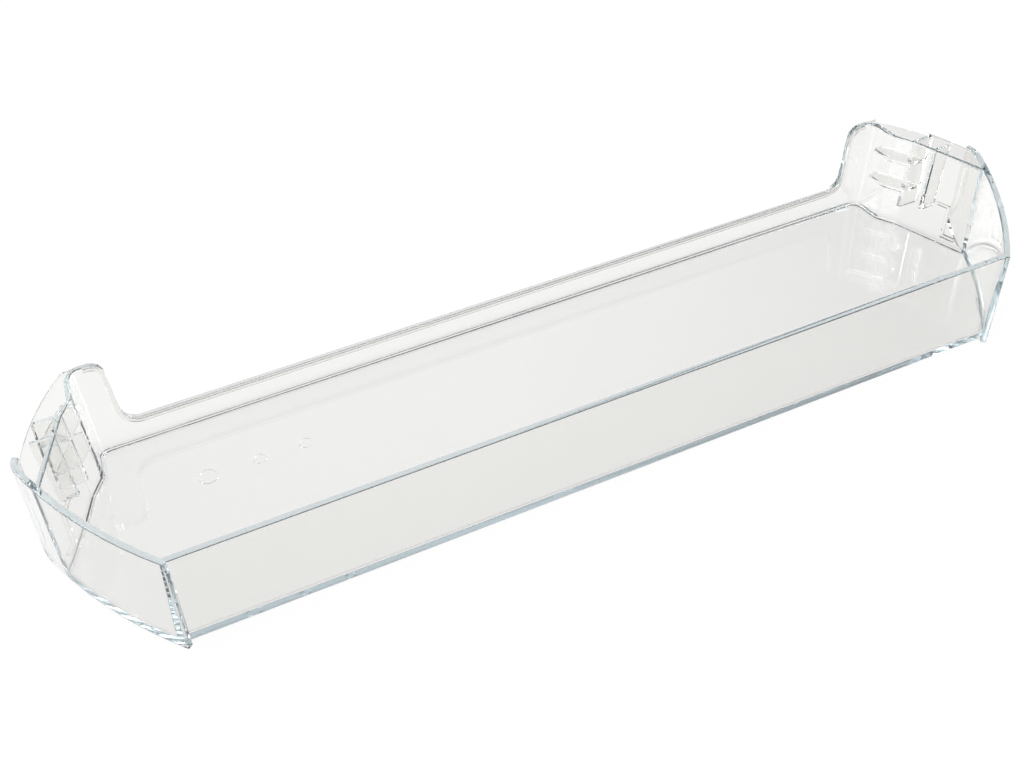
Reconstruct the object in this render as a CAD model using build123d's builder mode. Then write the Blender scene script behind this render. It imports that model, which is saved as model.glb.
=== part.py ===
"""Clear moulded shelf for a refrigerator door, one piece, in millimetres.

X runs along the shelf, the long front wall faces -Y and Z is up.
The origin is at the middle of the footprint, on the surface the shelf stands on.
"""

import math
import os

from build123d import *

# Overall sizes
front_width = 400.0  # over the two front corners
wing_spread = 40.5  # how far a wing tip stands out past its front corner
wing_reach = 72.0  # how far a wing tip lies behind the front edge
depth = 122.0
height = 54.0

# Walls
wall = 2.6
wing_wall = 3.0
floor_wall = 2.4

# Front wall, leaning out from foot to rim between the wings' front ends
front_rim_setback = 1.2
front_foot_setback = 3.8

# Wings, the bowed panels that close the two ends
wing_bow = 4.0
tip_roll_radius = 12.0
tip_roll_angle = 45.0
lip_corner_radius = 12.0

# Back wall, low in the middle and full height at its two ears
back_height = 16.0
ear_width = 15.1  # in from the heel at the rim to the ear's edge half way up
ear_lean = 4.0  # degrees from upright
ear_top_radius = 7.0
ear_foot_radius = 9.0

# End walls: a heel behind the hook pocket, a jog, then a long cheek to the wing
heel_spread = 8.6  # how far a heel stands out past its front corner, inside, at the rim
heel_length = 15.2
heel_flare = 2.0
jog_length = 9.6
jog_flare = 6.6
cheek_angle = 24.5  # degrees from the shelf's depth
end_draft = 2.2  # how far an end wall leans out from foot to rim
back_corner_radius = 5.0
jog_radius = 6.0

# Top flange over the hook pocket
flange_wall = 2.4
flange_bow = 3.3
flange_overhang = 0.5  # past the heel at the back corner
flange_back_setback = 1.1

# Webs and gussets of the hook pocket, set back from the shelf's back face
web_wall = 1.8
web_levels = (21.0, 37.5)
web_setback = 6.0
pocket_gusset_setback = 24.0
pocket_gusset_foot = 12.0
rib_gusset_setback = 35.0
rib_gusset_foot = 16.0
rib_gusset_depth = 10.0

# Stop rib on the outside of each cheek, placed forward from the jog and up from the foot
stop_rib_width = 1.4
stop_rib_height = 1.6
stop_ramp_start = 8.6
stop_ramp_level = 16.4
stop_ramp_run = 9.6
stop_shelf_level = 23.4
stop_shelf_run = 6.4
stop_foot_level = 5.0
stop_foot_run = 7.0

# Plain moulded rings on the floor near the left end
ring_places = (-167.0, -143.0, -121.5)
ring_setback = 38.0  # from the back face
ring_radii = (4.6, 3.2, 3.2)
ring_width = 0.9
ring_height = 0.3

# Rounding
floor_fillet = 2.5
back_rim_fillet = 0.7
rim_fillet = 0.6
flange_fillet = 0.4
wing_end_fillet = 0.8
foot_fillet = 0.8

front_y = -depth / 2
back_y = depth / 2
half_front = front_width / 2
half_heel = half_front + heel_spread
half_ear_gap = half_heel - ear_width
beyond = 10.0  # how far a cutting body passes what it cuts
near = 0.01  # how close an edge lies to the level it is chosen by


def polar_angle(point, center):
    """Angle of a plan point about a centre, in degrees."""
    return math.degrees(math.atan2(point.Y - center.Y, point.X - center.X))


def bowed_arc(first, last, bow):
    """Centre and radius of the arc from first to last that bows to the right by the given height."""
    radius = ((last - first).length ** 2 / 4 + bow**2) / (2 * bow)
    along = (last - first).normalized()
    out = Vector(along.Y, -along.X)
    return (first + last) / 2 + out * (bow - radius), radius


# The wing's outer face is an arc from the front corner to the tip, then a tighter roll inward.
wing_front = Vector(half_front, front_y)
wing_tip = Vector(half_front + wing_spread, front_y + wing_reach)
wing_center, wing_radius = bowed_arc(wing_front, wing_tip, wing_bow)
wing_start = polar_angle(wing_front, wing_center)
wing_sweep = polar_angle(wing_tip, wing_center) - wing_start
wing_overrun = math.degrees(beyond / wing_radius)
wing_middle_radius = wing_radius - wing_wall / 2
tip_direction = (wing_tip - wing_center).normalized()
roll_center = wing_center + tip_direction * (wing_radius - tip_roll_radius)

# The cheek runs forward and outward from the jog.
cheek_along = Vector(math.sin(math.radians(cheek_angle)), -math.cos(math.radians(cheek_angle)))
cheek_out = Vector(-cheek_along.Y, cheek_along.X)

# The flange's outer edge bows from the middle of the wing's tip to the back of the heel.
flange_tip = wing_center + tip_direction * wing_middle_radius
flange_back = Vector(half_heel + wall + flange_overhang, back_y - flange_back_setback)
flange_center, flange_radius = bowed_arc(flange_tip, flange_back, flange_bow)
flange_level = height - flange_wall


def front_at(level):
    """Inner face of the front wall at a level."""
    setback = front_foot_setback + (front_rim_setback - front_foot_setback) * level / height
    return front_y + setback + wall


def end_turns(level):
    """Inside turns of the right end wall at a level: back corner, heel and jog."""
    corner = Vector(half_heel + end_draft * (level - height) / height, back_y - wall)
    heel = corner + Vector(heel_flare, -heel_length)
    return corner, heel, heel + Vector(jog_flare, -jog_length)


def cheek_middle(level, y):
    """Plan point half way through the right cheek at a level and a depth."""
    start = end_turns(level)[2] + cheek_out * (wall / 2)
    return start + cheek_along * ((y - start.Y) / cheek_along.Y)


def tub_plan(level, out=0):
    """Outline of the tub's inside at a level, grown outward."""
    corner, heel, jog = end_turns(level)
    front = jog + cheek_along * ((front_at(level) - jog.Y) / cheek_along.Y)
    right = [corner, heel, jog, front]
    left = [Vector(-p.X, p.Y) for p in reversed(right)]
    radii = [back_corner_radius, jog_radius, jog_radius, 0]
    with BuildSketch(Plane.XY.offset(level)) as outline:
        with BuildLine():
            FilletPolyline(*right, *left, radius=radii + radii[::-1], close=True)
        make_face()
        if out:
            offset(amount=out, kind=Kind.INTERSECTION)
    return outline.sketch


def pocket_plan(level, front, back):
    """Outline of the hook pocket at a level between two depths, from mid end wall to the flange's edge."""
    edge_start = polar_angle(flange_tip, flange_center)
    edge_sweep = polar_angle(flange_back, flange_center) - edge_start
    wing_inside = wing_center + (Vector(flange_tip.X, 0) - wing_center).normalized() * wing_middle_radius
    with BuildSketch(Plane.XY.offset(level)) as outline:
        with BuildLine():
            edge = CenterArc(flange_center, flange_radius, edge_start, edge_sweep)
            heel_inside = Vector(half_heel - back_corner_radius, flange_back.Y)
            Polyline(edge @ 1, heel_inside, Vector(half_front, 0), wing_inside, edge @ 0)
        make_face()
        add(tub_plan(level, wall / 2), mode=Mode.SUBTRACT)
        with Locations((half_front, (front + back) / 2)):
            Rectangle(front_width, back - front, mode=Mode.INTERSECT)
    return outline.sketch


with BuildPart() as wing:
    with BuildSketch():
        with BuildLine():
            outer = CenterArc(wing_center, wing_radius, wing_start, wing_sweep)
            inner = CenterArc(wing_center, wing_radius - wing_wall, wing_start, wing_sweep)
            roll = CenterArc(roll_center, tip_roll_radius, wing_start + wing_sweep, tip_roll_angle)
            inner_roll = CenterArc(
                roll_center, tip_roll_radius - wing_wall, wing_start + wing_sweep, tip_roll_angle
            )
            Line(outer @ 0, inner @ 0)
            Line(roll @ 1, inner_roll @ 1)
        make_face()
    extrude(amount=height)
    uprights = wing.edges().filter_by(Axis.Z).sort_by(Axis.Y)
    fillet(uprights[:2] + uprights[-2:], wing_end_fillet)
    fillet(wing.faces().sort_by(Axis.Z)[-1].edges(), rim_fillet)
    # Round the lower corner behind the tip
    tip_y = (roll @ 1).Y
    with BuildSketch(Plane.YZ):
        with Locations((tip_y - lip_corner_radius, lip_corner_radius)):
            Rectangle(
                lip_corner_radius + beyond,
                lip_corner_radius + beyond,
                align=(Align.MIN, Align.MAX),
            )
            Circle(lip_corner_radius, mode=Mode.SUBTRACT)
    extrude(amount=front_width, mode=Mode.SUBTRACT)

with BuildPart() as pocket:
    # Flange over the whole pocket, from the wing to the heel
    extrude(pocket_plan(flange_level, front_y, back_y), amount=flange_wall)
    flange_rim = pocket.faces().sort_by(Axis.Z)[-1].edges().filter_by(GeomType.CIRCLE)
    fillet(flange_rim.sort_by(SortBy.RADIUS)[-1], flange_fillet)
    # Two webs across the notch behind the jog, closed in front by an upright gusset
    gusset_y = back_y - pocket_gusset_setback
    for level in web_levels:
        extrude(pocket_plan(level, gusset_y, back_y - web_setback), amount=web_wall)
    gusset = pocket_plan(pocket_gusset_foot, gusset_y - web_wall, gusset_y)
    extrude(gusset, amount=flange_level - pocket_gusset_foot)
    # Second gusset, tapering down from the flange's edge, that props the flange over the cheek
    rib_y = back_y - rib_gusset_setback
    rib_edge = flange_center.X + math.sqrt(flange_radius**2 - (rib_y - flange_center.Y) ** 2) - web_wall
    with BuildSketch(Plane.XZ.offset(-rib_y)):
        with BuildLine():
            rib_root = cheek_middle(rib_gusset_foot, rib_y).X
            Polyline(
                (rib_root, rib_gusset_foot),
                (cheek_middle(flange_level, rib_y).X, flange_level),
                (rib_edge, flange_level),
                (rib_root + rib_gusset_depth, rib_gusset_foot),
                close=True,
            )
        make_face()
    extrude(amount=web_wall)
    # Stop rib, a ramp, a shelf, a drop and a foot standing out from the cheek
    jog_y = end_turns(height)[2].Y
    stop_middle = (stop_shelf_level + stop_foot_level) / 2
    stop_plane = Plane(cheek_middle(stop_middle, jog_y), x_dir=cheek_along, z_dir=-cheek_out)
    shelf_start = stop_ramp_start + stop_ramp_run
    shelf_end = shelf_start + stop_shelf_run
    with BuildSketch(stop_plane):
        with BuildLine():
            Polyline(
                (stop_ramp_start, stop_ramp_level),
                (shelf_start, stop_shelf_level),
                (shelf_end, stop_shelf_level),
                (shelf_end, stop_foot_level),
                (shelf_end + stop_foot_run, stop_foot_level),
            )
        trace(line_width=stop_rib_width)
    extrude(amount=-wall / 2 - stop_rib_height)

with BuildPart() as door_shelf:
    loft([tub_plan(0, wall), tub_plan(height, wall)], ruled=True)
    loft([tub_plan(floor_wall), tub_plan(height + beyond)], ruled=True, mode=Mode.SUBTRACT)
    fillet(door_shelf.faces().sort_by(Axis.Z)[0].edges(), foot_fillet)
    rim = door_shelf.edges().filter_by_position(Axis.Z, height - near, height + near)
    fillet(rim.filter_by(Axis.X).filter_by_position(Axis.Y, front_y, 0), rim_fillet)
    # Trim to the middle of the wings
    with BuildSketch():
        with BuildLine():
            trim_start = wing_start - wing_overrun
            trim_sweep = wing_sweep + wing_overrun
            inside = CenterArc(wing_center, wing_middle_radius, trim_start, trim_sweep)
            outside = CenterArc(wing_center, wing_radius + wing_reach, trim_start, trim_sweep)
            Line(inside @ 0, outside @ 0)
            Line(inside @ 1, outside @ 1)
        make_face()
        mirror(about=Plane.YZ)
    extrude(amount=height, mode=Mode.SUBTRACT)
    # Open the back between the ears
    ear_shift = (height - back_height) / 2 * math.tan(math.radians(ear_lean))
    ear_foot = Vector(half_ear_gap - ear_shift, back_height)
    ear_top = Vector(half_ear_gap + ear_shift, height)
    right = [ear_foot, ear_top, ear_top + Vector(beyond, 0), ear_top + Vector(beyond, beyond)]
    left = [Vector(-p.X, p.Y) for p in reversed(right)]
    radii = [ear_foot_radius, ear_top_radius, 0, 0]
    with BuildSketch(Plane.XZ.offset(-back_y - beyond)):
        with BuildLine():
            FilletPolyline(*right, *left, radius=radii + radii[::-1], close=True)
        make_face()
    extrude(amount=wall + 2 * beyond, mode=Mode.SUBTRACT)
    for end in (wing, pocket):
        add(end.part)
        mirror(end.part, about=Plane.YZ)

    # Round the floor into the walls, then the back wall's rim
    floor = door_shelf.faces().filter_by_position(Axis.Z, floor_wall, floor_wall).sort_by(SortBy.AREA)[-1]
    fillet(floor.outer_wire().edges(), floor_fillet)
    for back_face in (back_y, back_y - wall):
        on_face = door_shelf.edges().filter_by_position(Axis.Y, back_face - near, back_face + near)
        fillet(on_face.filter_by(lambda e: e.bounding_box().min.Z > back_height - near), back_rim_fillet)
    # Raise the rings on the floor
    with BuildSketch(Plane.XY.offset(floor_wall)):
        for place, radius in zip(ring_places, ring_radii):
            with Locations((place, back_y - ring_setback)):
                Circle(radius)
                Circle(radius - ring_width, mode=Mode.SUBTRACT)
    extrude(amount=ring_height)

door_shelf.part.label = "door_shelf"
os.makedirs("parts", exist_ok=True)
export_step(door_shelf.part, "parts/door_shelf.step")
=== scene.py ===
"""Look of the clear refrigerator door shelf: plastic, floor, studio light and the photograph's camera."""

import math

import bpy
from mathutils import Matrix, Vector


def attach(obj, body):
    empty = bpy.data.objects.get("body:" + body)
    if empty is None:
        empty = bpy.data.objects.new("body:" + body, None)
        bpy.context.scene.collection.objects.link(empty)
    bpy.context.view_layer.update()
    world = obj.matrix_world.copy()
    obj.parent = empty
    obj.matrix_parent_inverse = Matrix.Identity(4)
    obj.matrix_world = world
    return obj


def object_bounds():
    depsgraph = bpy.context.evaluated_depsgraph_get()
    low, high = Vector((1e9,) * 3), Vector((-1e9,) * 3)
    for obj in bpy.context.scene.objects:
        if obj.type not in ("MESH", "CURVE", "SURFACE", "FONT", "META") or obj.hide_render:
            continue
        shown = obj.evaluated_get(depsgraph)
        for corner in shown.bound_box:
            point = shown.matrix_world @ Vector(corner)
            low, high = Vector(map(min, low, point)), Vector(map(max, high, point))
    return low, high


# Photograph and its camera, in pixels, degrees and metres
IMAGE_WIDTH = 1024
IMAGE_HEIGHT = 768
FOCAL_PIXELS = 1403.0
CENTRE_PIXEL = (559.0, 361.1)
CAMERA_PLACE = (-0.2130, -0.4168, 0.4717)
CAMERA_TURN = -26.61
CAMERA_TILT = 46.09  # up from straight down
SENSOR_WIDTH = 36.0  # millimetres

# Plastic: its surface, and the blue that thick paths through its body take on
PLASTIC_IOR = 1.58
PLASTIC_ROUGHNESS = 0.02
PLASTIC_TINT = (0.925, 0.92, 0.905, 1.0)
BODY_TINT = (0.0, 0.34, 0.48, 1.0)
BODY_DENSITY = 4.0  # per metre
LIGHT_BOUNCES = 48  # light runs far along the inside of the walls

# Back wall's rim, low in the middle and full height over the ears, in metres
BACK_WALL = 0.0026
RIM_ROUND = 0.0007
RIM_LOW = 0.016
EAR_FOOT_X = 0.19217
EAR_TOP_X = 0.19483
EAR_FOOT_RADIUS = 0.009
EAR_TOP_RADIUS = 0.007

# Bead along the inside of that rim, in metres and degrees
BEAD_HEIGHT = 0.0020
BEAD_DEPTH = 0.0013
BEAD_ROUND = 0.0004
BEAD_GAP = 0.00003  # keeps the bead clear of the wall
BEAD_END_X = 0.203
COVE_TURNS = (270, 197)  # where the bead follows the rim's rounding
TOP_TURNS = (180, 270)  # the bead's rounded upper edge
BOTTOM_TURNS = (270, 360)  # its rounded lower edge
ARC_STEPS = 12

# Studio, in metres
FLOOR_SIZE = 6.0
FLOOR_DROP = 0.0003  # keeps the floor clear of the shelf's bottom face
FLOOR_COLOUR = (0.95, 0.95, 0.945, 1.0)
FLOOR_SHADOW = 0.1  # share of the floor's white that a shadow can take away
# Surroundings, from the horizon up: height of the direction's tip and grey
LIT_SIDE = (
    (0.0, 0.94),
    (0.1, 0.94),
    (0.16, 0.05),
    (0.48, 0.05),
    (0.56, 1.0),
    (0.72, 0.95),
    (0.85, 0.6),
    (0.92, 0.1),
)
DARK_SIDE = (
    (0.0, 0.94),
    (0.1, 0.94),
    (0.16, 0.05),
    (0.5, 0.08),
    (0.7, 0.35),
    (0.85, 0.3),
    (0.92, 0.1),
)
RAMP_END = 1.0  # where a ramp's new stops start from
LIT_HEADING = (-0.5, 0.866, 0.0)  # behind the shelf, and to the left
LIT_RANGE = (0.2, 0.42)  # span of that heading over which dark turns into lit
# Soft boxes: place, size, power and whether they show in the plastic, in metres and watts
SOFT_BOXES = (
    ((-1.2, 0.75, 0.9), 0.6, 10.0, True),
    ((1.25, -0.5, 1.0), 0.6, 9.0, True),
    ((-1.8, -1.0, 1.6), 1.2, 20.0, True),
    ((0.0, -0.2, 1.8), 1.0, 18.0, False),
)

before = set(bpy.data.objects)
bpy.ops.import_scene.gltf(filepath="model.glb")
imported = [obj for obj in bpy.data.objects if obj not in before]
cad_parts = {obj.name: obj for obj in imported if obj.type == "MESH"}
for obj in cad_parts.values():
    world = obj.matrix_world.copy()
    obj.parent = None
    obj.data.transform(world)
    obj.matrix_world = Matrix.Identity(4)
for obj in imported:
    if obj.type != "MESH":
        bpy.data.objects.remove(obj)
rest_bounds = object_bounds()


def new_material(name):
    """A material, its emptied nodes, its links and its output node."""
    material = bpy.data.materials.new(name)
    material.use_nodes = True
    nodes = material.node_tree.nodes
    nodes.clear()
    return material, nodes, material.node_tree.links, nodes.new("ShaderNodeOutputMaterial")


def clear_plastic():
    """Clear moulding: it bends and mirrors light, and thick paths through it turn faintly blue."""
    material, nodes, links, output = new_material("clear_plastic")
    shader = nodes.new("ShaderNodeBsdfPrincipled")
    shader.inputs["Base Color"].default_value = PLASTIC_TINT
    shader.inputs["Roughness"].default_value = PLASTIC_ROUGHNESS
    shader.inputs["IOR"].default_value = PLASTIC_IOR
    shader.inputs["Transmission Weight"].default_value = 1.0
    links.new(shader.outputs["BSDF"], output.inputs["Surface"])
    body = nodes.new("ShaderNodeVolumeAbsorption")
    body.inputs["Color"].default_value = BODY_TINT
    body.inputs["Density"].default_value = BODY_DENSITY
    links.new(body.outputs["Volume"], output.inputs["Volume"])
    return material


def arc(centre, radius, turns):
    """Points of an arc between two angles in degrees."""
    first, last = turns
    points = []
    for step in range(ARC_STEPS + 1):
        turn = math.radians(first + (last - first) * step / ARC_STEPS)
        points.append((centre[0] + radius * math.cos(turn), centre[1] + radius * math.sin(turn)))
    return points


def bend(before, corner, after, radius):
    """Points of the arc that rounds a corner between two other points of a flat path."""
    back = (before - corner).normalized()
    ahead = (after - corner).normalized()
    half = back.angle(ahead) / 2
    centre = corner + (back + ahead).normalized() * (radius / math.sin(half))
    tangent = radius / math.tan(half)
    first = (corner + back * tangent - centre).normalized()
    last = (corner + ahead * tangent - centre).normalized()
    return [centre + first.slerp(last, step / ARC_STEPS) * radius for step in range(ARC_STEPS + 1)]


def rim_path(rim_high):
    """The back wall's rim from the left ear to the right one, as points across and up."""
    middle = Vector((0, RIM_LOW))
    foot = Vector((EAR_FOOT_X, RIM_LOW))
    top = Vector((EAR_TOP_X, rim_high))
    end = Vector((BEAD_END_X, rim_high))
    right = bend(middle, foot, top, EAR_FOOT_RADIUS) + bend(foot, top, end, EAR_TOP_RADIUS) + [end]
    return [Vector((-point.x, point.y)) for point in reversed(right)] + right


def bead_section():
    """Outline of the bead, as distances down from the rim and behind the wall's inner face."""
    wall_foot = (BEAD_HEIGHT, -BEAD_GAP)
    cove = arc((RIM_ROUND, RIM_ROUND), RIM_ROUND + BEAD_GAP, COVE_TURNS)
    front = BEAD_ROUND - BEAD_DEPTH
    top = arc((BEAD_ROUND, front), BEAD_ROUND, TOP_TURNS)
    bottom = arc((BEAD_HEIGHT - BEAD_ROUND, front), BEAD_ROUND, BOTTOM_TURNS)
    return [wall_foot] + cove + top + bottom


def add_rim_bead(material):
    """Bead swept along the inside of the back wall's rim, closed at its two ends."""
    _, back_y, rim_high = rest_bounds[1]
    path = rim_path(rim_high)
    section = bead_section()
    count = len(section)
    points = []
    for before, here, after in zip(path[:1] + path, path, path[1:] + path[-1:]):
        along = (after - before).normalized()
        down = Vector((along.y, -along.x))
        for drop, behind in section:
            place = here + down * drop
            points.append((place.x, back_y - BACK_WALL + behind, place.y))
    faces = [tuple(reversed(range(count))), tuple(range(len(points) - count, len(points)))]
    for start in range(0, len(points) - count, count):
        for side in range(count):
            corner, beside = start + side, start + (side + 1) % count
            faces.append((corner, beside, beside + count, corner + count))
    mesh = bpy.data.meshes.new("back_rim_bead")
    mesh.from_pydata(points, [], faces)
    mesh.materials.append(material)
    bead = bpy.data.objects.new("back_rim_bead", mesh)
    bpy.context.scene.collection.objects.link(bead)
    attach(bead, "root")


def seen_white(nodes, links):
    """Share of white that the floor gives to rays from the eye, straight, mirrored or bent."""
    path = nodes.new("ShaderNodeLightPath")
    seen = path.outputs["Is Camera Ray"]
    for ray in ("Is Glossy Ray", "Is Transmission Ray"):
        either = nodes.new("ShaderNodeMath")
        either.operation = "MAXIMUM"
        links.new(seen, either.inputs[0])
        links.new(path.outputs[ray], either.inputs[1])
        seen = either.outputs["Value"]
    share = nodes.new("ShaderNodeMath")
    share.operation = "MULTIPLY"
    share.inputs[1].default_value = 1 - FLOOR_SHADOW
    links.new(seen, share.inputs[0])
    return share.outputs["Value"]


def add_floor():
    """White floor that keeps the object's shadow."""
    bpy.ops.mesh.primitive_plane_add(size=FLOOR_SIZE, location=(0, 0, -FLOOR_DROP))
    floor = bpy.context.object
    floor.name = "floor"
    material, nodes, links, output = new_material("floor")
    lit = nodes.new("ShaderNodeBsdfDiffuse")
    lit.inputs["Color"].default_value = FLOOR_COLOUR
    white = nodes.new("ShaderNodeEmission")
    mix = nodes.new("ShaderNodeMixShader")
    links.new(seen_white(nodes, links), mix.inputs["Fac"])
    links.new(lit.outputs["BSDF"], mix.inputs[1])
    links.new(white.outputs["Emission"], mix.inputs[2])
    links.new(mix.outputs["Shader"], output.inputs["Surface"])
    floor.data.materials.append(material)


def grey_ramp(nodes, links, height, greys):
    """Grey of the surroundings over the height of a direction."""
    ramp = nodes.new("ShaderNodeValToRGB")
    stops = ramp.color_ramp.elements
    while len(stops) < len(greys):
        stops.new(RAMP_END)
    for stop, (place, grey) in zip(stops, greys):
        stop.position = place
        stop.color = (grey, grey, grey, 1.0)
    links.new(height, ramp.inputs["Fac"])
    return ramp.outputs["Color"]


def add_world():
    """Studio surroundings: white at the horizon, dark above it, and lit on one side behind the shelf."""
    world = bpy.data.worlds.new("studio")
    bpy.context.scene.world = world
    world.use_nodes = True
    nodes, links = world.node_tree.nodes, world.node_tree.links
    nodes.clear()
    direction = nodes.new("ShaderNodeTexCoord")
    parts = nodes.new("ShaderNodeSeparateXYZ")
    links.new(direction.outputs["Generated"], parts.inputs["Vector"])
    heading = nodes.new("ShaderNodeVectorMath")
    heading.operation = "DOT_PRODUCT"
    heading.inputs[1].default_value = LIT_HEADING
    links.new(direction.outputs["Generated"], heading.inputs[0])
    lit = nodes.new("ShaderNodeMapRange")
    lit.inputs["From Min"].default_value, lit.inputs["From Max"].default_value = LIT_RANGE
    links.new(heading.outputs["Value"], lit.inputs["Value"])
    mix = nodes.new("ShaderNodeMixRGB")
    links.new(lit.outputs["Result"], mix.inputs["Fac"])
    links.new(grey_ramp(nodes, links, parts.outputs["Z"], DARK_SIDE), mix.inputs["Color1"])
    links.new(grey_ramp(nodes, links, parts.outputs["Z"], LIT_SIDE), mix.inputs["Color2"])
    light = nodes.new("ShaderNodeBackground")
    links.new(mix.outputs["Color"], light.inputs["Color"])
    output = nodes.new("ShaderNodeOutputWorld")
    links.new(light.outputs["Background"], output.inputs["Surface"])


def add_soft_boxes():
    """Square lamps that face the shelf."""
    for index, (place, size, power, shown) in enumerate(SOFT_BOXES):
        data = bpy.data.lights.new(f"soft_box_{index}", "AREA")
        data.size = size
        data.energy = power
        lamp = bpy.data.objects.new(f"soft_box_{index}", data)
        lamp.location = place
        lamp.rotation_euler = (-Vector(place)).to_track_quat("-Z", "Y").to_euler()
        lamp.visible_glossy = shown
        lamp.visible_transmission = shown
        bpy.context.scene.collection.objects.link(lamp)


def add_camera():
    """The photograph's camera."""
    data = bpy.data.cameras.new("camera")
    data.sensor_width = SENSOR_WIDTH
    data.lens = SENSOR_WIDTH * FOCAL_PIXELS / IMAGE_WIDTH
    data.shift_x = (IMAGE_WIDTH / 2 - CENTRE_PIXEL[0]) / IMAGE_WIDTH
    data.shift_y = (CENTRE_PIXEL[1] - IMAGE_HEIGHT / 2) / IMAGE_WIDTH
    camera = bpy.data.objects.new("camera", data)
    camera.location = CAMERA_PLACE
    camera.rotation_euler = (math.radians(CAMERA_TILT), 0, math.radians(CAMERA_TURN))
    bpy.context.scene.collection.objects.link(camera)
    bpy.context.scene.camera = camera


plastic = clear_plastic()
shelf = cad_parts["door_shelf"]
shelf.data.materials.clear()
shelf.data.materials.append(plastic)

add_rim_bead(plastic)
add_floor()
add_world()
add_soft_boxes()
add_camera()
bpy.context.scene.view_settings.view_transform = "Standard"
for limit in ("max_bounces", "glossy_bounces", "transmission_bounces"):
    setattr(bpy.context.scene.cycles, limit, LIGHT_BOUNCES)
